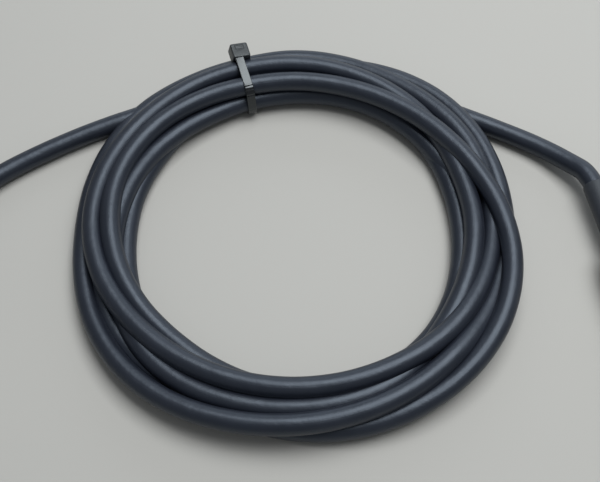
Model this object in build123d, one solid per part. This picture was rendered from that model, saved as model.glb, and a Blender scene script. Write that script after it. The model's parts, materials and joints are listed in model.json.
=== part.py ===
from build123d import *
import math
import os

# Instrument cable: a round flexible cable wound into a tied coil, with a two-pole
# 6.35 mm jack plug on each end.  Millimetres.  The origin is the centre of the coil's
# eye on the surface it lies on, +Z is up and +Y points at the side where the ends cross.

# ---------------------------------------------------------------- cable and coil
CABLE_D = 6.0               # jacket diameter
CORE_D = 2.4                # insulated centre conductor
WIRE_D = 1.0                # bare conductor, and the twisted shield
COIL_INNER_R = 45.4         # eye of the coil
COIL_OUTER_R = 67.6
COIL_HEIGHT = 12.8          # two layers of cable
COIL_ROUND_R = 5.0          # roundness of the bundle's edges

# ---------------------------------------------------------------- cable tie
TIE_AZIMUTH = 106.2         # degrees from +X, about the coil's centre
TIED_LOWER_R = (49.6, 63.8)     # first and last cable of the tied bundle's lower layer
TIED_UPPER = [(58.5, 5.2), (50.8, 5.3)]    # upper cables: radius, rise above the lower
TIE_CLEAR = 0.3             # between the strap and the bundle
STRAP_W = 2.5
STRAP_T = 1.1
HEAD_W = 5.0
HEAD_L = 5.3                # along the strap
HEAD_H = 3.6
HEAD_RISE = 0.5             # head's top above the strap's outer face
HEAD_BACK = 1.5             # outermost upper cable's centre to the head
HEAD_EDGE_R = 0.4
SLOT_GAP = 0.3              # play around the tail in the head's slot
SLOT_DEPTH = 1.4
TAIL_WALL = 0.7             # head's wall behind the tail
TOOTH_PITCH = 1.0
TOOTH_DEPTH = 0.35

# ---------------------------------------------------------------- jack plug
SHAFT_D = 6.35
SHAFT_L = 31.0              # flange face to the end of the tip
TIP_L = 9.0                 # tip contact
TIP_BAND = 1.5              # full-diameter band beside the insulator
TIP_NECK_D = 4.0
TIP_BALL_D = 5.9
TIP_NOSE_D = 2.4            # rounded end
TIP_WAIST_SAG = 0.35        # hollow of the curve from the neck up to the ball
RING_L = 1.3                # insulating ring between tip and barrel
ROD_D = 2.2                 # rod of the tip contact, through the barrel
INSULATOR_D = 4.2
FLANGE_T = 1.6
COLLAR_L = 6.5              # threaded collar behind the flange
UNDERCUT = 0.4              # thread relief beside the flange
LUG_T = 0.5                 # sheet of both solder lugs
WASHER_T = 1.0
WASHER_D = 7.0
TIP_LUG_D = 5.6
TIP_TAB_L = 6.0
TIP_TAB_W = 3.0
RIVET_D = 3.6
RIVET_T = 0.8
GROUND_TAB_HALF = 26.0      # half angle of the ground lug's tab, degrees
CLAMP_HALF = 122.0          # half angle of its cable clamp, degrees
CLAMP_L = 7.0
CLAMP_AT = 12.0             # collar's rear face to the clamp
BOOT_T = 0.6                # wall of the strain sleeve shrunk on the cable
BOOT_FREE = 22.0            # its length behind the shell
BOOT_GRIP = 4.0             # length of the free cable held in its mouth
JACKET_IN = 2.0             # jacket past the clamp, inside the shell
SHELL_D = 14.0
SHELL_WALL = 1.3            # round the thread in its mouth
SHELL_STEP = 0.2            # bore's radius under the thread's
FLANGE_STEP = 0.3           # flange's radius under the shell's
SHELL_L = 34.3
SHELL_TAPER_L = 9.0
SHELL_REAR_WALL_R = 1.4      # round the rear hole
SHELL_REAR_WALL = 2.4
SHELL_LIP = 0.6             # chamfer at the shell's mouth
FLUTES = 16
FLUTE_L = 11.0
FLUTE_DEPTH = 0.35
FLUTE_R = 1.0
LINER_T = 0.4               # insulating tube inside the shell
TURN_CLEAR = 0.1            # between the liner and the shell
THREAD_CLEAR = 0.05
SEAT_GAP = 0.1              # between the closed shell and the flange
REAR_CLEAR = 0.35           # between the strain sleeve and the shell's rear hole

# ---------------------------------------------------------------- plugs on the surface
LEFT_MOUTH = (-108.0, -14.5)    # where the cable enters each strain sleeve
LEFT_HEADING = -90.0
RIGHT_MOUTH = (90.1, 13.1)
RIGHT_HEADING = -80.0

# Free cable outside the coil, from inside the bundle to the last point before the sleeve.
LEFT_ROUTE = [
    (-47.0, 45.0, 3.0),
    (-62.0, 37.2, 3.0),
    (-76.5, 29.3, 3.0),
    (-91.0, 19.7, 3.1),
    (-102.5, 7.5, 4.4),
]
LEFT_BEND = 6.0             # last bend to the sleeve's mouth
RIGHT_ROUTE = [
    (49.5, 44.5, 3.0),
    (63.5, 37.5, 3.0),
    (76.5, 30.1, 3.3),
    (84.2, 23.1, 4.9),
]
RIGHT_BEND = 4.0

CABLE_R = CABLE_D / 2
LOWER_Z = STRAP_T + TIE_CLEAR + CABLE_R
SHAFT_R = SHAFT_D / 2
BOOT_R = CABLE_R + BOOT_T
CLAMP_R = BOOT_R + LUG_T
SHELL_R = SHELL_D / 2
THREAD_R = SHELL_R - SHELL_WALL
COLLAR_R = THREAD_R - THREAD_CLEAR
FLANGE_R = SHELL_R - FLANGE_STEP
SHELL_BORE_R = THREAD_R - SHELL_STEP
LINER_OUT_R = SHELL_BORE_R - TURN_CLEAR
REAR_HOLE_R = BOOT_R + REAR_CLEAR
PLUG_Z = SHELL_R

# Stations along a plug's axis: 0 at the flange's front face, positive towards the tip.
RING_FRONT_X = SHAFT_L - TIP_L
BARREL_FRONT_X = RING_FRONT_X - RING_L
COLLAR_REAR_X = -FLANGE_T - COLLAR_L
GROUND_REAR_X = COLLAR_REAR_X - LUG_T
WASHER_REAR_X = GROUND_REAR_X - WASHER_T
TIP_LUG_REAR_X = WASHER_REAR_X - LUG_T
CLAMP_FRONT_X = COLLAR_REAR_X - CLAMP_AT
CLAMP_REAR_X = CLAMP_FRONT_X - CLAMP_L
JACKET_FRONT_X = CLAMP_FRONT_X + JACKET_IN
SHELL_FRONT_X = -FLANGE_T - SEAT_GAP
SHELL_REAR_X = SHELL_FRONT_X - SHELL_L
BORE_REAR_X = SHELL_REAR_X + SHELL_REAR_WALL
BOOT_REAR_X = SHELL_REAR_X - BOOT_FREE
BOOT_FRONT_X = CLAMP_FRONT_X + JACKET_IN / 2


def turned(outline):
    """Solid of revolution about the plug's axis of a closed outline in its X-Z plane."""
    return revolve(make_face(outline.edges()), Axis.X)


def rod(x_rear, x_front, radius):
    """Round bar along the plug's axis."""
    return Plane.YZ.offset(x_rear) * extrude(Circle(radius), x_front - x_rear)


def sector(radius, half_angle, x_rear, x_front):
    """Wedge about the plug's axis, centred on its underside."""
    reach = radius / math.cos(math.radians(min(half_angle, 60.0)))
    steps = max(1, math.ceil(half_angle / 45.0))
    corners = [(0.0, 0.0)]
    for step in range(-steps, steps + 1):
        angle = math.radians(-90.0 + half_angle * step / steps)
        corners.append((reach * math.cos(angle), reach * math.sin(angle)))
    wedge = make_face(Polyline(*corners, close=True).edges())
    return Plane.YZ.offset(x_rear) * extrude(wedge, x_front - x_rear)


def tip_contact():
    """Turned tip: a band, a hollow waist and a rounded nose, on a rod riveted behind the lugs."""
    neck_x = RING_FRONT_X + TIP_BAND + (SHAFT_D - TIP_NECK_D) / 2
    ball_x = SHAFT_L - TIP_BALL_D / 2
    nose_r = TIP_NOSE_D / 2
    profile = Polyline(
        (neck_x, 0, TIP_NECK_D / 2),
        (RING_FRONT_X + TIP_BAND, 0, SHAFT_R),
        (RING_FRONT_X, 0, SHAFT_R),
        (RING_FRONT_X, 0, ROD_D / 2),
        (TIP_LUG_REAR_X, 0, ROD_D / 2),
        (TIP_LUG_REAR_X, 0, RIVET_D / 2),
        (TIP_LUG_REAR_X - RIVET_T, 0, RIVET_D / 2),
        (TIP_LUG_REAR_X - RIVET_T, 0, 0),
        (SHAFT_L, 0, 0),
    )
    nose = Rot(90, 0, 0) * CenterArc((SHAFT_L - nose_r, 0, 0), nose_r, 0, 90)
    flank = Line((SHAFT_L - nose_r, 0, nose_r), (ball_x, 0, TIP_BALL_D / 2))
    waist = ThreePointArc(
        (ball_x, 0, TIP_BALL_D / 2),
        ((ball_x + neck_x) / 2, 0, (TIP_BALL_D + TIP_NECK_D) / 4 - TIP_WAIST_SAG),
        (neck_x, 0, TIP_NECK_D / 2),
    )
    return turned(profile + nose + flank + waist)


def insulator():
    """Moulded tube around the rod, with the ring that shows between tip and barrel."""
    body = rod(GROUND_REAR_X, RING_FRONT_X, INSULATOR_D / 2)
    body += rod(BARREL_FRONT_X, RING_FRONT_X, SHAFT_R)
    return body - rod(GROUND_REAR_X, RING_FRONT_X, ROD_D / 2)


def barrel():
    """Sleeve contact with its flange and threaded collar, turned from one bar."""
    undercut_x = -FLANGE_T - UNDERCUT * 2
    profile = Polyline(
        (BARREL_FRONT_X, 0, INSULATOR_D / 2),
        (BARREL_FRONT_X, 0, SHAFT_R),
        (0, 0, SHAFT_R),
        (0, 0, FLANGE_R - UNDERCUT),
        (-UNDERCUT, 0, FLANGE_R),
        (-FLANGE_T, 0, FLANGE_R),
        (-FLANGE_T, 0, COLLAR_R - UNDERCUT),
        (undercut_x, 0, COLLAR_R - UNDERCUT),
        (undercut_x, 0, COLLAR_R),
        (COLLAR_REAR_X + UNDERCUT, 0, COLLAR_R),
        (COLLAR_REAR_X, 0, COLLAR_R - UNDERCUT),
        (COLLAR_REAR_X, 0, INSULATOR_D / 2),
        close=True,
    )
    return turned(profile)


def washer():
    """Insulating washer between the two lugs."""
    return rod(WASHER_REAR_X, GROUND_REAR_X, WASHER_D / 2) - rod(WASHER_REAR_X, GROUND_REAR_X, ROD_D / 2)


def tip_lug():
    """Disc riveted on the rod, with a bent tab that takes the centre conductor."""
    radius = TIP_LUG_D / 2
    disc = rod(TIP_LUG_REAR_X, WASHER_REAR_X, radius) - rod(TIP_LUG_REAR_X, WASHER_REAR_X, ROD_D / 2)
    tab = rod(TIP_LUG_REAR_X - TIP_TAB_L, WASHER_REAR_X, radius)
    tab -= rod(TIP_LUG_REAR_X - TIP_TAB_L, WASHER_REAR_X, radius - LUG_T)
    middle_x = (TIP_LUG_REAR_X - TIP_TAB_L + WASHER_REAR_X) / 2
    tab &= Pos(middle_x, 0, radius) * Box(TIP_TAB_L + LUG_T, TIP_TAB_W, radius)
    hole = Pos(TIP_LUG_REAR_X - TIP_TAB_L * 0.7, 0, radius) * Cylinder(WIRE_D / 2, radius)
    return disc + tab - hole


def ground_lug():
    """Ring behind the collar, a long tab and the fingers that clamp the cable."""
    ring = rod(GROUND_REAR_X, COLLAR_REAR_X, CLAMP_R) - rod(GROUND_REAR_X, COLLAR_REAR_X, INSULATOR_D / 2)
    tube = rod(CLAMP_REAR_X, GROUND_REAR_X, CLAMP_R) - rod(CLAMP_REAR_X, GROUND_REAR_X, BOOT_R)
    tab = tube & sector(SHELL_D, GROUND_TAB_HALF, CLAMP_REAR_X, GROUND_REAR_X)
    fingers = tube & sector(SHELL_D, CLAMP_HALF, CLAMP_REAR_X, CLAMP_FRONT_X)
    return ring + tab + fingers


def boot():
    """Strain sleeve shrunk over the cable, from the clamp to well behind the shell."""
    sleeve = rod(BOOT_REAR_X, BOOT_FRONT_X, BOOT_R) - rod(BOOT_REAR_X, BOOT_FRONT_X, CABLE_R)
    rim = sleeve.edges().group_by(Axis.X)[0].sort_by(SortBy.LENGTH)[-1]
    return fillet(rim, BOOT_T * 0.6)


def cable_end():
    """Jacketed end of the cable inside the strain sleeve and the clamp."""
    return rod(BOOT_REAR_X + BOOT_GRIP, JACKET_FRONT_X, CABLE_R)


def conductor():
    """Insulated core, bared and bent up under the tip lug's tab, with its solder."""
    wire_r = WIRE_D / 2
    tab_under_z = TIP_LUG_D / 2 - LUG_T
    rise_x = JACKET_FRONT_X + CORE_D / 2
    tab_x = TIP_LUG_REAR_X - TIP_TAB_L * 0.7
    core = rod(JACKET_FRONT_X, rise_x, CORE_D / 2)
    path = FilletPolyline(
        (rise_x, 0, 0),
        (rise_x + WIRE_D, 0, 0),
        (tab_x - WIRE_D, 0, tab_under_z - wire_r),
        (tab_x + WIRE_D, 0, tab_under_z - wire_r),
        radius=wire_r * 1.2,
    )
    wire = sweep(Plane((rise_x, 0, 0), x_dir=(0, 1, 0), z_dir=(1, 0, 0)) * Circle(wire_r), path)
    solder = Pos(tab_x, 0, tab_under_z - wire_r) * Sphere(wire_r * 1.5)
    under_tab = Pos(tab_x, 0, tab_under_z - SHELL_D / 2) * Box(SHELL_D, SHELL_D, SHELL_D)
    return core + wire + (solder & under_tab)


def shield():
    """Twisted shield wires, laid along the ground lug's tab."""
    wire_r = WIRE_D / 2
    start = (JACKET_FRONT_X, 0, -CABLE_R + wire_r * 1.5)
    laid_z = -BOOT_R + wire_r
    path = FilletPolyline(
        start,
        (JACKET_FRONT_X + WIRE_D, 0, start[2]),
        (JACKET_FRONT_X + WIRE_D * 3, 0, laid_z),
        (JACKET_FRONT_X + WIRE_D * 6, 0, laid_z),
        radius=wire_r * 1.2,
    )
    return sweep(Plane(start, x_dir=(0, 1, 0), z_dir=(1, 0, 0)) * Circle(wire_r), path)


def liner():
    """Insulating tube that lines the shell."""
    front_x = COLLAR_REAR_X - SEAT_GAP * 2
    rear_x = BORE_REAR_X + SEAT_GAP
    return rod(rear_x, front_x, LINER_OUT_R) - rod(rear_x, front_x, LINER_OUT_R - LINER_T)


def shell():
    """Screw-on shell: threaded mouth, lined bore, fluted grip and a curved tail."""
    taper_x = SHELL_REAR_X + SHELL_TAPER_L
    rear_r = REAR_HOLE_R + SHELL_REAR_WALL_R
    thread_rear_x = COLLAR_REAR_X - SEAT_GAP
    # an arc tangent to the barrel has fallen a quarter of its drop by halfway
    tail = ThreePointArc(
        (taper_x, 0, SHELL_R),
        ((taper_x + SHELL_REAR_X) / 2, 0, SHELL_R - (SHELL_R - rear_r) / 4),
        (SHELL_REAR_X, 0, rear_r),
    )
    profile = Polyline(
        (SHELL_REAR_X, 0, rear_r),
        (SHELL_REAR_X, 0, REAR_HOLE_R),
        (BORE_REAR_X, 0, REAR_HOLE_R),
        (BORE_REAR_X, 0, SHELL_BORE_R),
        (thread_rear_x, 0, SHELL_BORE_R),
        (thread_rear_x, 0, THREAD_R),
        (SHELL_FRONT_X, 0, THREAD_R),
        (SHELL_FRONT_X, 0, SHELL_R - SHELL_LIP),
        (SHELL_FRONT_X - SHELL_LIP, 0, SHELL_R),
        (taper_x, 0, SHELL_R),
    )
    body = turned(profile + tail)
    cutter_x = SHELL_FRONT_X - SHELL_LIP * 3 - FLUTE_L
    cutter = Plane.YZ.offset(cutter_x) * extrude(Circle(FLUTE_R), FLUTE_L)
    for index in range(FLUTES):
        turn = Rot(360.0 * index / FLUTES, 0, 0)
        body -= turn * Pos(0, 0, SHELL_R + FLUTE_R - FLUTE_DEPTH) * cutter
    return body


def placed(solid, mouth, heading):
    """Move a plug piece from the plug's own axis to its place on the surface."""
    along = Pos(mouth[0], mouth[1], PLUG_Z) * Rot(0, 0, heading)
    return along * Pos(-BOOT_REAR_X, 0, 0) * solid


def bundle_face(grow):
    """Section of the tied bundle, radius along X and height along Y, grown all round."""
    centres = [(radius, LOWER_Z) for radius in TIED_LOWER_R]
    centres += [(radius, LOWER_Z + rise) for radius, rise in TIED_UPPER]
    return offset(make_face(Polyline(*centres, close=True).edges()), CABLE_R + grow)


def at_tie(solid):
    """Turn a piece made in the X-Z plane round to the tie."""
    return Rot(0, 0, TIE_AZIMUTH) * solid


def across_strap(face, width):
    """Extrude a section of the bundle along the cable, centred on the strap."""
    return Plane.XZ * extrude(face, width / 2, both=True)


def coil():
    """Outer shape of the wound turns, with the waist that the strap pulls in."""
    width = COIL_OUTER_R - COIL_INNER_R
    middle = (COIL_OUTER_R + COIL_INNER_R) / 2
    section = Plane.XZ * Pos(middle, COIL_HEIGHT / 2) * RectangleRounded(width, COIL_HEIGHT, COIL_ROUND_R)
    ring = revolve(section, Axis.Z)
    waist_w = HEAD_W + TIE_CLEAR * 2
    slab = Pos(middle, 0, 0) * Box(middle, waist_w, COIL_OUTER_R)
    return ring - at_tie(slab) + at_tie(across_strap(bundle_face(0), waist_w))


def teeth():
    """Row of notches across the strap's inner face, under the bundle."""
    first_r, last_r = TIED_LOWER_R
    notch_w = STRAP_W - TOOTH_DEPTH * 2
    notch = Pos(first_r, 0, STRAP_T) * Rot(0, 45, 0) * Box(TOOTH_DEPTH * 1.4, notch_w, TOOTH_DEPTH * 1.4)
    count = int((last_r - first_r) / TOOTH_PITCH)
    return [Pos(TOOTH_PITCH * index, 0, 0) * notch for index in range(count + 1)]


def tie():
    """Moulded tie: smooth strap with teeth inside, and the head that grips its cut tail."""
    inside = across_strap(bundle_face(TIE_CLEAR), HEAD_W * 2)
    strap = across_strap(bundle_face(TIE_CLEAR + STRAP_T), STRAP_W) - inside
    outer_r, outer_rise = TIED_UPPER[0]
    strap_top = LOWER_Z + outer_rise + CABLE_R + TIE_CLEAR + STRAP_T
    head_top = strap_top + HEAD_RISE
    head_inner_r = outer_r + HEAD_BACK
    head_outer_r = head_inner_r + HEAD_L
    head = Pos(head_inner_r + HEAD_L / 2, 0, head_top - HEAD_H / 2) * Box(HEAD_L, HEAD_W, HEAD_H)
    head = fillet(head.edges().filter_by(Axis.Z) + head.faces().sort_by(Axis.Z)[-1].edges(), HEAD_EDGE_R)
    tail_r = head_outer_r - TAIL_WALL - SLOT_GAP - STRAP_T / 2
    slot_l = STRAP_T + SLOT_GAP * 2
    slot = Pos(tail_r, 0, head_top - SLOT_DEPTH / 2) * Box(slot_l, STRAP_W + SLOT_GAP * 2, SLOT_DEPTH)
    tail = Pos(tail_r, 0, head_top - SLOT_DEPTH / 2) * Box(STRAP_T, STRAP_W, SLOT_DEPTH)
    pawl_r = tail_r - STRAP_T / 2 - SLOT_GAP / 2
    pawl = Pos(pawl_r, 0, head_top - SLOT_DEPTH * 0.75) * Box(SLOT_GAP, STRAP_W - TOOTH_DEPTH * 2, SLOT_DEPTH / 2)
    body = strap + (head - slot + tail + pawl - inside)
    return at_tie(body - teeth())


def tube(route, mouth, heading, bend):
    """Free cable: straight runs joined by arcs as large as the runs allow."""
    forward = (math.cos(math.radians(heading)), math.sin(math.radians(heading)))
    last = (mouth[0] - forward[0] * bend, mouth[1] - forward[1] * bend, PLUG_Z)
    end = (mouth[0] + forward[0] * BOOT_GRIP, mouth[1] + forward[1] * BOOT_GRIP, PLUG_Z)
    points = [Vector(*p) for p in route] + [Vector(*last), Vector(*end)]
    radii = []
    for before, corner, after in zip(points, points[1:], points[2:]):
        run_in = corner - before
        run_out = after - corner
        turn = math.radians(run_in.get_angle(run_out))
        radii.append(0.45 * min(run_in.length, run_out.length) / math.tan(turn / 2))
    path = FilletPolyline(*points, radius=radii)
    start = Plane(points[0], z_dir=(points[1] - points[0]).normalized())
    body = sweep(start * Circle(CABLE_R), path)
    expected = math.pi * CABLE_R ** 2 * path.length
    print("bend radii", [round(r, 1) for r in radii])
    print("length", round(path.length, 1), "volume over section x length", round(body.volume / expected, 4))
    return body


PLUG_PIECES = {
    "tip": tip_contact,
    "insulator": insulator,
    "barrel": barrel,
    "washer": washer,
    "tip_lug": tip_lug,
    "ground_lug": ground_lug,
    "boot": boot,
    "cable_end": cable_end,
    "conductor": conductor,
    "shield": shield,
    "liner": liner,
    "shell": shell,
}


def main():
    parts = {
        "cable_coil": coil(),
        "cable_tie": tie(),
        "left_lead": tube(LEFT_ROUTE, LEFT_MOUTH, LEFT_HEADING, LEFT_BEND),
        "right_lead": tube(RIGHT_ROUTE, RIGHT_MOUTH, RIGHT_HEADING, RIGHT_BEND),
    }
    for name, make in PLUG_PIECES.items():
        piece = make()
        parts["left_" + name] = placed(piece, LEFT_MOUTH, LEFT_HEADING)
        parts["right_" + name] = placed(piece, RIGHT_MOUTH, RIGHT_HEADING)
    os.makedirs("parts", exist_ok=True)
    for name, solid in parts.items():
        export_step(solid, "parts/" + name + ".step")
    print(len(parts), "nodes")


main()
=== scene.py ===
# %% [markdown]
# # An instrument cable, tied in a coil
# A round, dark cable lies on a pale floor in about six turns, with a jack plug at
# each end. The plugs and the strain sleeves come from the CAD frame. This lesson
# makes the cable itself, its tie, the finishes, the light and the camera.

# %% Load the frame
import bpy
import json
import math
import numpy as np
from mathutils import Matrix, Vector


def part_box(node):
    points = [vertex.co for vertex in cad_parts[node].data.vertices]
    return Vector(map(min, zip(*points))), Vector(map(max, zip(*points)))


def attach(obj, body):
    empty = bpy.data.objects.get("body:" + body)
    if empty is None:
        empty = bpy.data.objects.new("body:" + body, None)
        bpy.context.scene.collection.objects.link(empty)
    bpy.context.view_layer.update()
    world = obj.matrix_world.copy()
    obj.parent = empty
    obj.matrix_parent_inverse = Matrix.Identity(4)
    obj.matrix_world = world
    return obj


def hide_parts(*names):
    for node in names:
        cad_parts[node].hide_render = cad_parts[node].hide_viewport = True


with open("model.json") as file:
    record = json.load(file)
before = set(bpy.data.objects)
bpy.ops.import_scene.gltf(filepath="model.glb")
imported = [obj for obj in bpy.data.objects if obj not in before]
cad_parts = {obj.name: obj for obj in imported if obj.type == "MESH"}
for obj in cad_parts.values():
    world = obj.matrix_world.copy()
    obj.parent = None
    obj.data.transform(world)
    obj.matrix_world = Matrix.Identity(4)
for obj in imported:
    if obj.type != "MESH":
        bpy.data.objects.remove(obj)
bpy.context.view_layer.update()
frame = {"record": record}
MM = 0.001

# %% [markdown]
# ## Camera
# The coil is seen from above at about sixty degrees, a little to its front. A camera
# can be turned by Euler angles or aimed at a point. Aiming is simpler to read: the
# view direction is worked out and turned into a rotation.

# %% Camera
EYE = Vector((1.5, -145.92, 244.96)) * MM
AIM = Vector((1.5, -2.2, 0.0)) * MM
camera_data = bpy.data.cameras.new("camera")
camera_data.lens = 57.0
camera_data.sensor_width = 36.0
camera_data.clip_start = 0.01
camera = bpy.data.objects.new("camera", camera_data)
camera.location = EYE
camera.rotation_euler = (AIM - EYE).to_track_quat("-Z", "Y").to_euler()
bpy.context.collection.objects.link(camera)
bpy.context.scene.camera = camera
bpy.context.scene.view_settings.view_transform = "Standard"
print("camera height above the floor, m", round(EYE.z, 3))

# %% [markdown]
# ## Light
# The room's light comes from a pale panel overhead, a little behind the coil and to
# the right of it. It draws one soft bright line along the upper side of each turn. A
# sun lamp would make that line too thin, so the panel is a wide area lamp. A wider,
# cooler window far behind gives the turns a broad sheen on the side away from the
# eye, and the world fills in.

# %% Lamps and world
def panel(name, place, width, depth, watts, colour):
    """A rectangular area lamp, in metres and watts, aimed at the middle of the coil."""
    data = bpy.data.lights.new(name, "AREA")
    data.shape = "RECTANGLE"
    data.size = width
    data.size_y = depth
    data.energy = watts
    data.color = colour
    lamp = bpy.data.objects.new(name, data)
    lamp.location = place
    lamp.rotation_euler = (-Vector(place)).to_track_quat("-Z", "Y").to_euler()
    bpy.context.collection.objects.link(lamp)
    print("lamp", name, watts, "W")


panel(
    "ceiling_panel",
    place=(0.165, 0.16, 0.70),
    width=0.66,
    depth=0.48,
    watts=5.4,
    colour=(0.97, 0.99, 1.0),
)
panel(
    "far_window",
    place=(0.72, 3.12, 0.96),
    width=5.28,
    depth=1.92,
    watts=34.6,
    colour=(0.85, 0.93, 1.0),
)

world = bpy.data.worlds.new("room")
bpy.context.scene.world = world
world.use_nodes = True
world_back = world.node_tree.nodes["Background"]
world_back.inputs["Color"].default_value = (0.92, 0.96, 1.0, 1.0)
world_back.inputs["Strength"].default_value = 0.23
print("world strength", round(world_back.inputs["Strength"].default_value, 2))

# %% [markdown]
# ## Helpers for node trees
# Every finish below is a small node tree. Three helpers keep the cells short: one
# adds a node and sets its sockets, one links pairs of sockets, and one starts a
# material.

# %% Node helpers
def add(tree, kind, values=(), **settings):
    """Add a node, set its attributes, then its input sockets by name or number."""
    node = tree.nodes.new(kind)
    for name, value in settings.items():
        setattr(node, name, value)
    for name, value in dict(values).items():
        node.inputs[name].default_value = value
    return node


def join(tree, *pairs):
    """Link pairs of sockets, each written (from, to)."""
    for start, end in pairs:
        tree.links.new(start, end)


def new_material(name):
    """An empty material with its Principled shader, ready for sockets and links."""
    material = bpy.data.materials.new(name)
    material.use_nodes = True
    shader = material.node_tree.nodes["Principled BSDF"]
    return material, material.node_tree, shader


print("helpers", add.__name__, join.__name__, new_material.__name__)

# %% [markdown]
# ## Floor
# The object stands on a plain pale floor. It only has to carry the shadow, so it is
# one large square with a matte, even finish.

# %% Floor
FLOOR_HALF = 3.0
floor_mesh = bpy.data.meshes.new("floor")
corners = np.array([(-1, -1, 0), (1, -1, 0), (1, 1, 0), (-1, 1, 0)], float) * FLOOR_HALF
floor_mesh.from_pydata(corners.tolist(), [], [(0, 1, 2, 3)])
floor = bpy.data.objects.new("floor", floor_mesh)
bpy.context.collection.objects.link(floor)
floor_material, tree, shader = new_material("floor_pale")
shader.inputs["Base Color"].default_value = (0.475, 0.468, 0.442, 1.0)
shader.inputs["Roughness"].default_value = 0.75
floor_mesh.materials.append(floor_material)
print("floor", FLOOR_HALF * 2, "m wide")

# %% [markdown]
# ## The cable's route
# One cable runs from the left plug, over the bundle's lower layer, six times round
# the coil, and out to the right plug. Outside the coil its line needs only a few
# points. At each plug it has to run straight into the strain sleeve, so the last two
# points are worked out from the sleeve's mouth and heading. Lengths are in
# millimetres and angles in degrees, anticlockwise from the right.

# %% Ends of the route
PLUG_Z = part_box("left_shell")[1][2] / MM / 2
CABLE_D = 6.0
BOOT_GRIP = 4.0
LEFT_MOUTH = (-108.0, -14.5)
LEFT_HEADING = -90.0
LEFT_BEND = 6.0
LEFT_ROUTE = [
    (-102.5, 7.5, 4.4),
    (-91.0, 19.7, 3.1),
    (-76.5, 29.3, 3.0),
    (-62.0, 37.2, 3.0),
    (-47.0, 43.4, 3.2),
    (-33.0, 50.0, 4.0),
]
RIGHT_MOUTH = (90.1, 13.1)
RIGHT_HEADING = -80.0
RIGHT_BEND = 4.0
RIGHT_ROUTE = [
    (45.0, 46.2, 3.0),
    (63.5, 37.3, 3.0),
    (76.5, 30.1, 3.3),
    (84.2, 23.1, 4.9),
]


def mouth_points(mouth, heading, bend):
    """The last bend before a strain sleeve, and the cable's end inside its mouth."""
    forward = (math.cos(math.radians(heading)), math.sin(math.radians(heading)))
    before = (mouth[0] - forward[0] * bend, mouth[1] - forward[1] * bend, PLUG_Z)
    inside = (mouth[0] + forward[0] * BOOT_GRIP, mouth[1] + forward[1] * BOOT_GRIP, PLUG_Z)
    return before, inside


left_before, left_inside = mouth_points(LEFT_MOUTH, LEFT_HEADING, LEFT_BEND)
right_before, right_inside = mouth_points(RIGHT_MOUTH, RIGHT_HEADING, RIGHT_BEND)
print("plug axis above the floor, mm", round(PLUG_Z, 2))

# %% [markdown]
# ## The turns
# In a coil wound by hand no two turns lie alike: they cross, dive under each other
# and fan out where nothing ties them. A plain spiral would look wound by a machine.
# So one table says how far out each turn lies at eighteen places, and another how
# high. The cable runs clockwise from near the tie, so its angle falls.

# %% Radii of the turns
PLACES = [
    106, 88, 70, 52, 36, 20, 0, -20, -40,
    -60, -80, -105, -130, -152, -175, -200, -220, -240,
]
TURN_RADII = np.reshape([
    # turn 1
    59.2, 61.7, 64.7, 66.2, 65.5, 64.0, 62.3, 61.0, 60.6,
    60.9, 61.7, 63.3, 65.1, 64.2, 62.1, 63.7, 65.3, 64.4,
    # turn 2
    63.8, 65.4, 63.4, 61.0, 61.0, 59.7, 58.1, 56.6, 55.3,
    53.2, 52.3, 52.5, 54.0, 56.4, 59.1, 59.7, 59.2, 59.1,
    # turn 3
    58.5, 58.3, 57.1, 55.7, 54.2, 52.5, 52.4, 52.3, 53.1,
    56.4, 56.8, 57.6, 58.4, 55.6, 53.0, 51.3, 50.0, 49.1,
    # turn 4
    49.6, 50.0, 50.9, 51.2, 50.9, 51.4, 54.0, 55.4, 55.9,
    56.2, 56.3, 57.6, 59.9, 60.0, 57.5, 55.7, 55.0, 54.4,
    # turn 5
    54.2, 53.2, 52.1, 52.3, 51.4, 49.7, 49.1, 50.0, 51.9,
    52.4, 51.8, 50.6, 49.7, 51.6, 53.6, 55.2, 54.6, 52.6,
    # turn 6
    51.2, 51.1, 51.2, 52.2, 53.5, 55.9, 61.3, 64.9, 66.0,
    65.0, 63.3, 59.8, 55.3, 51.8, 49.7, 49.7, 50.3, 52.9,
], (-1, len(PLACES)))
print(len(TURN_RADII), "turns,", len(PLACES), "places round each")

# %% Heights of the turns
TURN_HEIGHTS = np.reshape([
    # turn 1
    4.4, 3.5, 3.7, 4.7, 5.4, 5.0, 3.5, 4.4, 8.0,
    8.2, 8.7, 7.8, 6.0, 4.5, 3.2, 3.2, 3.2, 3.7,
    # turn 2
    4.4, 4.1, 5.0, 6.6, 7.4, 6.6, 5.4, 7.3, 8.5,
    8.5, 8.5, 8.5, 8.5, 8.3, 8.2, 8.5, 8.8, 9.2,
    # turn 3
    9.6, 9.3, 9.0, 8.5, 7.9, 7.6, 8.0, 7.5, 6.6,
    5.9, 6.1, 6.2, 6.0, 6.0, 6.0, 6.1, 5.4, 4.6,
    # turn 4
    4.4, 4.4, 4.4, 4.4, 4.3, 3.6, 3.2, 3.2, 3.2,
    3.2, 3.2, 3.2, 3.2, 3.2, 3.2, 3.2, 3.2, 4.7,
    # turn 5
    6.6, 5.5, 3.9, 3.2, 3.2, 3.2, 3.2, 3.2, 3.2,
    3.2, 3.2, 3.6, 5.0, 7.0, 8.9, 9.0, 9.1, 9.5,
    # turn 6
    9.8, 9.7, 9.7, 9.9, 10.3, 10.6, 8.9, 8.5, 7.2,
    5.2, 3.7, 3.2, 3.2, 3.2, 3.2, 3.2, 3.3, 3.9,
], (-1, len(PLACES)))
# angle, radius and height where the cable leaves the coil
LAST = [(-2054, 55.2, 4.4), (-2078, 57.0, 3.3), (-2098, 60.5, 3.2)]
print("heights from", TURN_HEIGHTS.min(), "to", TURN_HEIGHTS.max(), "mm")

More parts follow.
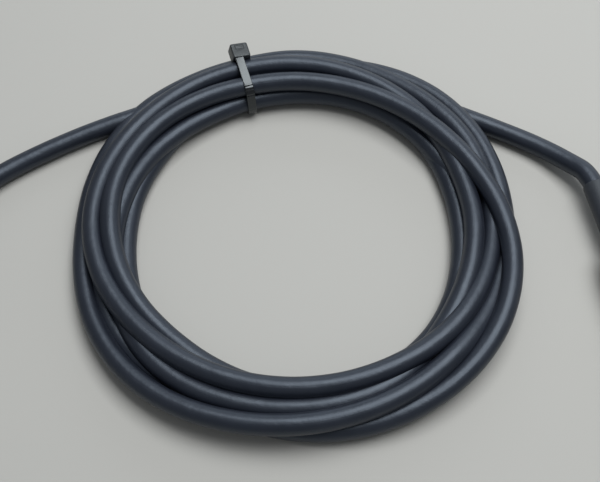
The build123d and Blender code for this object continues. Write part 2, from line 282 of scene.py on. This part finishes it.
# %% [markdown]
# ## From tables to points
# A curve through the tables gives the radius and height at any angle. Cubic Hermite
# pieces pass through every entry with no overshoot worth seeing. Each turn gets
# twenty-four control points. A NURBS line runs inside its control points: beside
# each one, and at the middle of each side between two. The radius is made larger by
# the mean of what it would lose at these two places.

# %% Control points round the coil
POINT_STEP = 15.0


def hermite(x, knots, values):
    """Cubic Hermite: each piece blends its two end values and two end slopes."""
    slopes = np.gradient(values, knots)
    at = np.clip(np.searchsorted(knots, x) - 1, 0, len(knots) - 2)
    width = knots[at + 1] - knots[at]
    t = (x - knots[at]) / width
    ends = (2 * t**3 - 3 * t**2 + 1) * values[at] + (3 * t**2 - 2 * t**3) * values[at + 1]
    return ends + width * ((t**3 - 2 * t**2 + t) * slopes[at] + (t**3 - t**2) * slopes[at + 1])


back = 360.0 * np.arange(len(TURN_RADII))[:, None]
places = np.array(PLACES) - back
rows = np.stack([places.ravel(), TURN_RADII.ravel(), TURN_HEIGHTS.ravel()], -1)
table = np.vstack([rows, LAST])
table = table[np.argsort(table[:, 0])]
angle = np.arange(PLACES[0], LAST[-1][0], -POINT_STEP)
step = math.radians(POINT_STEP)
at_side = math.cos(step / 2)
at_point = (3.0 + math.cos(step)) / 4.0
outward = 2.0 / (at_side + at_point)
radius = hermite(angle, table[:, 0], table[:, 1]) * outward
height = hermite(angle, table[:, 0], table[:, 2])
turned = np.radians(angle)
turns = np.stack([radius * np.cos(turned), radius * np.sin(turned), height], -1)
print("control points round the coil", len(turns))

# %% [markdown]
# ## One smooth line
# A cable can't bend sharply. A Bezier spline would need two handles at each point to
# stay smooth, and a NURBS spline of order three is smooth by itself. Its order and
# its end rule are set after the points are added.

# %% The spline
left_end = [left_inside, left_before, *LEFT_ROUTE]
right_end = [*RIGHT_ROUTE, right_before, right_inside]
route = np.vstack([left_end, turns, right_end]) * MM
line_data = bpy.data.curves.new("cable_line", "CURVE")
line_data.dimensions = "3D"
spline = line_data.splines.new("NURBS")
spline.points.add(len(route) - 1)
spline.points.foreach_set("co", np.hstack([route, np.ones((len(route), 1))]).ravel())
spline.order_u = 3
spline.use_endpoint_u = True
spline.resolution_u = 9
line_object = bpy.data.objects.new("cable_line", line_data)
bpy.context.collection.objects.link(line_object)
line_mesh = bpy.data.meshes.new_from_object(line_object)
centres = np.empty(len(line_mesh.vertices) * 3)
line_mesh.vertices.foreach_get("co", centres)
centres = centres.reshape(-1, 3)
bpy.data.objects.remove(line_object)
bpy.data.meshes.remove(line_mesh)
steps = np.linalg.norm(np.diff(centres, axis=0), axis=1)
along = np.concatenate([[0.0], np.cumsum(steps)])

# %% [markdown]
# ## The jacket
# The jacket is a plain extruded tube of soft PVC. A bevelled curve would do, but a
# circle carried along the line gives a UV map that measures the length in metres,
# which the finish can follow. It also lets the tube swell by about two hundredths of
# a millimetre, as a real extruded and handled jacket does.

# %% A surface from rings
def surface(name, grid, uv=None):
    """A mesh from rows of points: each row is a closed ring, joined to the next one."""
    count, sides = grid.shape[:2]
    first = np.arange(count - 1)[:, None] * sides
    column = np.arange(sides)[None, :]
    after = (column + 1) % sides
    quads = np.stack([first + column, first + after, first + sides + after, first + sides + column], -1)
    mesh = bpy.data.meshes.new(name)
    mesh.from_pydata(grid.reshape(-1, 3).tolist(), [], quads.reshape(-1, 4).tolist())
    mesh.polygons.foreach_set("use_smooth", np.ones(len(mesh.polygons), bool))
    if uv is not None:
        layer = mesh.uv_layers.new(name="length_round")
        here = column + 0 * first
        row = first // sides + 0 * column
        across = np.stack([here, here + 1, here + 1, here], -1)
        down = np.stack([row, row, row + 1, row + 1], -1)
        pairs = np.stack([uv[0][down], uv[1][across]], -1)
        layer.data.foreach_set("uv", pairs.reshape(-1))
    return mesh


print("helper", surface.__name__)

# %% Carry a circle along the line
SIDES = 32
SWELL = 0.015               # mm, how much the jacket swells and shrinks
SWELL_RATE = 210.0          # radians per metre: one swell each 30 mm
FADE_RATE = 37.0            # it comes and goes each 170 mm
RIPPLE = 0.009              # mm, a finer swell on top of it
RIPPLE_RATE = 523.0         # one ripple each 12 mm


def ring_frames(points):
    """At each point of a line: a level normal, and one that stands up from it."""
    tangent = np.gradient(points, axis=0)
    tangent /= np.linalg.norm(tangent, axis=1, keepdims=True)
    side = np.cross((0.0, 0.0, 1.0), tangent)
    side /= np.linalg.norm(side, axis=1, keepdims=True)
    return side, np.cross(tangent, side)


side, up = ring_frames(centres)
swell = SWELL * np.sin(along * SWELL_RATE) * np.sin(along * FADE_RATE + 1.0)
swell += RIPPLE * np.sin(along * RIPPLE_RATE + 2.0)
around = np.linspace(0.0, 2.0 * math.pi, SIDES, endpoint=False)[None, :, None]
ring = side[:, None, :] * np.cos(around) + up[:, None, :] * np.sin(around)
grid = centres[:, None, :] + (CABLE_D / 2.0 + swell)[:, None, None] * MM * ring
turn_share = np.arange(SIDES + 1) / SIDES
jacket_mesh = surface("cable", grid, (along, turn_share))
cable = bpy.data.objects.new("cable", jacket_mesh)
bpy.context.collection.objects.link(cable)
print("jacket quads", len(jacket_mesh.polygons))

# %% [markdown]
# ## The tie's strap
# The strap is a thin nylon band. Pulled tight, it runs straight between cables and
# curves round the outer ones. It could be a bevelled curve with points set by hand.
# Here its line is worked out instead, so that it fits by itself: it is the outline
# of circles round the tied cables, the farthest point of any circle in each
# direction. Where it bends, the teeth on its inner side show as shallow ripples.

# %% Axes and corners at the tie
TIE_TURN = 107.25           # degrees round the coil


def tie_axes(pitch=0.0, roll=0.0):
    """Outward, sideways and up at the tie, its outer end raised and its side tipped."""
    turn, pitch, roll = (math.radians(value) for value in (TIE_TURN, pitch, roll))
    flat = np.array([math.cos(turn), math.sin(turn), 0.0])
    level = np.array([-math.sin(turn), math.cos(turn), 0.0])
    outward = math.cos(pitch) * flat + math.sin(pitch) * np.array([0.0, 0.0, 1.0])
    above = np.cross(outward, level)
    sideways = math.cos(roll) * level + math.sin(roll) * above
    return np.stack([outward, sideways, np.cross(outward, sideways)])


def squared(angles, power):
    """A circle's cosine and sine pushed out towards a square with round corners."""
    cosine, sine = np.cos(angles), np.sin(angles)
    return np.sign(cosine) * np.abs(cosine) ** power, np.sign(sine) * np.abs(sine) ** power


print("outward at the tie", tie_axes()[0].round(2))

# %% Strap
STRAP_HALF_W = 1.35
STRAP_HALF_T = 0.5
HUG = 3.2                   # from a tied cable's centre to the strap's inner face
TIED = np.array([(49.8, 4.4), (63.6, 4.4), (60.3, 9.9), (51.0, 8.7)])    # radius, height
TEETH_ROUND = 26
TOOTH_SHOW = 0.035
STRAP_ROWS = 541
STRAP_SIDES = 24
STRAP_CORNER = 0.18         # 0 for sharp corners, 1 for a round section
bearing = np.linspace(-0.5 * math.pi, 1.5 * math.pi, STRAP_ROWS)
facing = np.stack([np.cos(bearing), np.sin(bearing)], -1)
farthest = TIED[np.argmax(facing @ TIED.T, axis=1)]
ripple = TOOTH_SHOW * np.cos(TEETH_ROUND * bearing)
middle = farthest + (HUG + STRAP_HALF_T + ripple)[:, None] * facing
section = np.linspace(0.0, 2.0 * math.pi, STRAP_SIDES, endpoint=False)
wide, thick = squared(section, STRAP_CORNER)
face = middle[:, None, :] + (STRAP_HALF_T * thick)[None, :, None] * facing[:, None, :]
sideways = STRAP_HALF_W * wide + 0.0 * face[:, :, 0]
strap_grid = np.stack([face[:, :, 0], sideways, face[:, :, 1]], -1) @ tie_axes() * MM
strap_mesh = surface("tie_strap", strap_grid)
tie_strap = bpy.data.objects.new("tie_strap", strap_mesh)
bpy.context.collection.objects.link(tie_strap)
print("strap quads", len(strap_mesh.polygons))

# %% [markdown]
# ## The tie's head
# The head is a small moulded block that grips the strap. A cube with a bevel would
# make the block, and a stack of rings also makes its taper and the gap round the
# strap's cut end, all in one surface. The rings go from the foot up over the edge,
# down into the gap and up again over the cut end. The foot is wider, because a
# moulded piece has to leave its mould.

# %% Head
HEAD_AT = (63.2, -0.6, 10.82)    # outward, sideways and up from the coil's middle
HEAD_PITCH = 7.0            # degrees
HEAD_ROLL = 8.0
HEAD_SIDES = 64
HEAD_CORNER = 0.17
# each ring: half length, half width, height, and how far it is shifted outward
HEAD_RINGS = np.array([
    (0.01, 0.01, 0.00, 0.0),
    (2.50, 2.90, 0.00, 0.0),
    (2.66, 3.08, 0.10, 0.0),
    (2.68, 3.10, 0.30, 0.0),
    (2.66, 2.84, 3.15, 0.0),
    (2.60, 2.78, 3.38, 0.0),
    (2.45, 2.63, 3.52, 0.0),
    (2.26, 2.44, 3.56, 0.0),
    (2.16, 2.34, 3.57, 0.0),
    (0.86, 1.50, 3.57, 1.2),
    (0.81, 1.45, 3.56, 1.2),
    (0.78, 1.42, 3.48, 1.2),
    (0.72, 1.36, 3.46, 1.2),
    (0.70, 1.34, 3.48, 1.2),
    (0.67, 1.31, 3.55, 1.2),
    (0.61, 1.25, 3.56, 1.2),
    (0.01, 0.01, 3.56, 1.2),
])
half_l, half_w, ring_z, shift = HEAD_RINGS.T[:, :, None]
section = np.linspace(0.0, 2.0 * math.pi, HEAD_SIDES, endpoint=False)
long_way, wide_way = squared(section, HEAD_CORNER)
head_grid = np.stack([shift + half_l * long_way, half_w * wide_way, ring_z + 0.0 * wide_way], -1)
head_grid = (head_grid @ tie_axes(HEAD_PITCH, HEAD_ROLL) + HEAD_AT @ tie_axes()) * MM
head_mesh = surface("tie_head", head_grid)
tie_head = bpy.data.objects.new("tie_head", head_mesh)
bpy.context.collection.objects.link(tie_head)
print("head quads", len(head_mesh.polygons))

# %% [markdown]
# ## Shared effects
# Soft plastics and plated metals all show the same two things close up: a fine
# grain, and patches where handling has changed the gloss. Pictures could give these,
# but noise needs no file and has no seams. Both are noise and differ only in scale,
# so one node group makes both, and every finish places it with its own scale and
# sharpness.

# %% Fine grain group
def grain_group():
    """Noise stretched about its middle by a sharpness, as a mask from 0 to 1."""
    group = bpy.data.node_groups.new("fine_grain", "ShaderNodeTree")
    face = group.interface
    face.new_socket("Vector", in_out="INPUT", socket_type="NodeSocketVector")
    face.new_socket("Scale", in_out="INPUT", socket_type="NodeSocketFloat")
    face.new_socket("Sharpness", in_out="INPUT", socket_type="NodeSocketFloat")
    face.new_socket("Mask", in_out="OUTPUT", socket_type="NodeSocketFloat")
    start = add(group, "NodeGroupInput")
    end = add(group, "NodeGroupOutput")
    noise = add(group, "ShaderNodeTexNoise", {"Detail": 4.0, "Roughness": 0.6})
    centred = add(group, "ShaderNodeMath", {1: 0.5}, operation="SUBTRACT")
    scaled = add(group, "ShaderNodeMath", operation="MULTIPLY_ADD")
    scaled.inputs[2].default_value = 0.5
    scaled.use_clamp = True
    join(
        group,
        (start.outputs["Vector"], noise.inputs["Vector"]),
        (start.outputs["Scale"], noise.inputs["Scale"]),
        (noise.outputs["Fac"], centred.inputs[0]),
        (centred.outputs[0], scaled.inputs[0]),
        (start.outputs["Sharpness"], scaled.inputs[1]),
        (scaled.outputs[0], end.inputs["Mask"]),
    )
    return group


GRAIN = grain_group()
print("group", GRAIN.name)

# %% Masks, colours and bumps
def grain(tree, vector, scale, sharpness):
    """Place the fine grain group in a material, fed with a vector."""
    node = add(tree, "ShaderNodeGroup", node_tree=GRAIN)
    node.inputs["Scale"].default_value = scale
    node.inputs["Sharpness"].default_value = sharpness
    tree.links.new(vector, node.inputs["Vector"])
    return node.outputs["Mask"]


def between(tree, mask, low, high):
    """Map a mask from 0..1 to a range of values."""
    node = add(tree, "ShaderNodeMapRange", {"To Min": low, "To Max": high})
    tree.links.new(mask, node.inputs["Value"])
    return node.outputs["Result"]


def mix_colours(tree, mask, first, second):
    """Blend two plain colours by a mask."""
    node = add(tree, "ShaderNodeMix", data_type="RGBA")
    node.inputs["A"].default_value = (*first, 1.0)
    node.inputs["B"].default_value = (*second, 1.0)
    tree.links.new(mask, node.inputs["Factor"])
    return node.outputs["Result"]


def bump(tree, height, distance, under=None):
    """A bump from a height mask, its distance in metres, on top of another if given."""
    node = add(tree, "ShaderNodeBump", {"Strength": 1.0, "Distance": distance})
    tree.links.new(height, node.inputs["Height"])
    if under is not None:
        tree.links.new(under, node.inputs["Normal"])
    return node.outputs["Normal"]


print("helpers", grain.__name__, between.__name__, mix_colours.__name__, bump.__name__)

# %% [markdown]
# ## Jacket finish
# The jacket is satin PVC, nearly black with some blue in it. The die leaves very
# faint lines along it, and handling leaves duller patches. The lines follow the UV
# map, stretched along the cable; patches, pores and slow dents are noise in object
# space. One even gloss would look too perfect, and the dents make the highlights
# waver a little.

# %% Jacket material
JACKET_DARK = (0.0100, 0.0122, 0.0190)
JACKET_LIGHT = (0.0140, 0.0166, 0.0255)
PORE_DEPTH = 0.00002
DENT_DEPTH = 0.00022
jacket, tree, shader = new_material("jacket_pvc")
place = add(tree, "ShaderNodeTexCoord")
stretch = add(tree, "ShaderNodeMapping", {"Scale": (18.0, 26.0, 1.0)})
join(tree, (place.outputs["UV"], stretch.inputs["Vector"]))
die_lines = grain(tree, stretch.outputs["Vector"], 1.0, 1.6)
patches = grain(tree, place.outputs["Object"], 85.0, 1.8)
pores = grain(tree, place.outputs["Object"], 2600.0, 1.4)
dents = grain(tree, place.outputs["Object"], 120.0, 1.2)
tone = mix_colours(tree, patches, JACKET_DARK, JACKET_LIGHT)
gloss = add(tree, "ShaderNodeMath", operation="ADD")
join(
    tree,
    (tone, shader.inputs["Base Color"]),
    (between(tree, patches, -0.05, 0.06), gloss.inputs[0]),
    (between(tree, die_lines, 0.37, 0.45), gloss.inputs[1]),
    (gloss.outputs[0], shader.inputs["Roughness"]),
)
surface_height = add(tree, "ShaderNodeMath", {1: 0.35}, operation="MULTIPLY_ADD")
join(tree, (pores, surface_height.inputs[0]), (die_lines, surface_height.inputs[2]))
fine_normal = bump(tree, surface_height.outputs[0], PORE_DEPTH)
join(tree, (bump(tree, dents, DENT_DEPTH, fine_normal), shader.inputs["Normal"]))
shader.inputs["Specular IOR Level"].default_value = 0.66
shader.inputs["Specular Tint"].default_value = (0.75, 0.86, 1.0, 1.0)
jacket_mesh.materials.append(jacket)
print("jacket material", jacket.name)

# %% [markdown]
# ## Moulded nylon, rubber and plated metal
# The tie is black nylon, its strap smooth and its head finely pitted by the mould.
# The strain sleeves are matte shrunk tube. The plugs are nickel plate with fine
# turning marks. All plastics differ only in a few values, and so do all plates, so
# one function makes each kind and two tables hold the values.

# %% Plastic and plate
def plastic(name, dark, light, rough, grain_scale, depth, specular):
    """Moulded plastic: two close colours, a gloss that varies, and a fine bump."""
    material, tree, shader = new_material(name)
    place = add(tree, "ShaderNodeTexCoord").outputs["Object"]
    tone = grain(tree, place, grain_scale * 0.1, 1.6)
    fine = grain(tree, place, grain_scale, 1.4)
    join(
        tree,
        (mix_colours(tree, tone, dark, light), shader.inputs["Base Color"]),
        (between(tree, tone, rough - 0.04, rough + 0.05), shader.inputs["Roughness"]),
        (bump(tree, fine, depth), shader.inputs["Normal"]),
    )
    shader.inputs["Specular IOR Level"].default_value = specular
    shader.inputs["Specular Tint"].default_value = (0.90, 0.97, 1.0, 1.0)
    return material


def plate(name, dark, light, rough, lines):
    """Plated metal: turning lines round the part, and faint smudges in its gloss."""
    material, tree, shader = new_material(name)
    place = add(tree, "ShaderNodeTexCoord").outputs["Object"]
    smudge = grain(tree, place, 160.0, 1.8)
    stretch = add(tree, "ShaderNodeMapping", {"Scale": (0.2, 1.0, 0.2)})
    join(tree, (place, stretch.inputs["Vector"]))
    turned = grain(tree, stretch.outputs["Vector"], lines, 1.5)
    join(
        tree,
        (mix_colours(tree, smudge, dark, light), shader.inputs["Base Color"]),
        (between(tree, smudge, rough, rough + 0.1), shader.inputs["Roughness"]),
        (bump(tree, turned, 0.00001), shader.inputs["Normal"]),
    )
    shader.inputs["Metallic"].default_value = 1.0
    return material


print("helpers", plastic.__name__, plate.__name__)

# %% Finishes
# each plastic: dark and light colour, roughness, grain scale, grain depth, specular
PLASTICS = {
    "tie_nylon": ((0.005, 0.005, 0.006), (0.008, 0.008, 0.009), 0.17, 900.0, 0.000004, 0.75),
    "tie_head_nylon": ((0.014, 0.015, 0.016), (0.024, 0.026, 0.028), 0.38, 1300.0, 0.00005, 0.54),
    "insulator": ((0.018, 0.018, 0.019), (0.026, 0.026, 0.027), 0.34, 2200.0, 0.00001, 0.5),
    "fibre_washer": ((0.26, 0.08, 0.045), (0.38, 0.13, 0.075), 0.7, 3000.0, 0.00004, 0.5),
    "boot_rubber": ((0.025, 0.028, 0.036), (0.035, 0.039, 0.049), 0.55, 2400.0, 0.00004, 0.5),
    "liner_plastic": ((0.66, 0.65, 0.60), (0.74, 0.73, 0.69), 0.4, 1500.0, 0.00001, 0.5),
}
# each plate: dark and light colour, roughness, scale of its turning lines
PLATES = {
    "nickel": ((0.70, 0.67, 0.61), (0.80, 0.78, 0.73), 0.14, 2600.0),
    "shell_metal": ((0.66, 0.64, 0.60), (0.75, 0.74, 0.70), 0.24, 2200.0),
    "lug_metal": ((0.64, 0.57, 0.44), (0.74, 0.69, 0.56), 0.3, 1800.0),
    "copper": ((0.62, 0.42, 0.30), (0.76, 0.62, 0.50), 0.32, 2400.0),
}
FINISHES = {name: plastic(name, *look) for name, look in PLASTICS.items()}
FINISHES.update({name: plate(name, *look) for name, look in PLATES.items()})
FINISHES["cable_jacket"] = jacket
print(len(FINISHES), "finishes")

# %% [markdown]
# ## Which piece has which finish
# The frame's record names a material slot for each CAD node. The finishes carry the
# same names, so a loop can put each one on its nodes. The nodes that this lesson
# makes anew are left out.

# %% Give each CAD node its finish
CORD_NODES = ("cable_coil", "left_lead", "right_lead")
REPLACED = (*CORD_NODES, "cable_tie")
slots = {entry["node"]: entry["material_slot"] for entry in frame["record"]["subparts"]}
for node, slot_name in slots.items():
    if node in REPLACED:
        continue
    mesh = bpy.data.objects[node].data
    mesh.materials.clear()
    mesh.materials.append(FINISHES[slot_name])
strap_mesh.materials.append(FINISHES["tie_nylon"])
head_mesh.materials.append(FINISHES["tie_head_nylon"])
print("finishes on", len(slots) - len(REPLACED), "CAD nodes")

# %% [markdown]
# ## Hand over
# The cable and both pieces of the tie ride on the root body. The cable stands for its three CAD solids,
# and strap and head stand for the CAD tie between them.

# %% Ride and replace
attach(cable, "cable")
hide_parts(*CORD_NODES)
for piece in (tie_strap, tie_head):
    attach(piece, "cable")
    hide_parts("cable_tie")
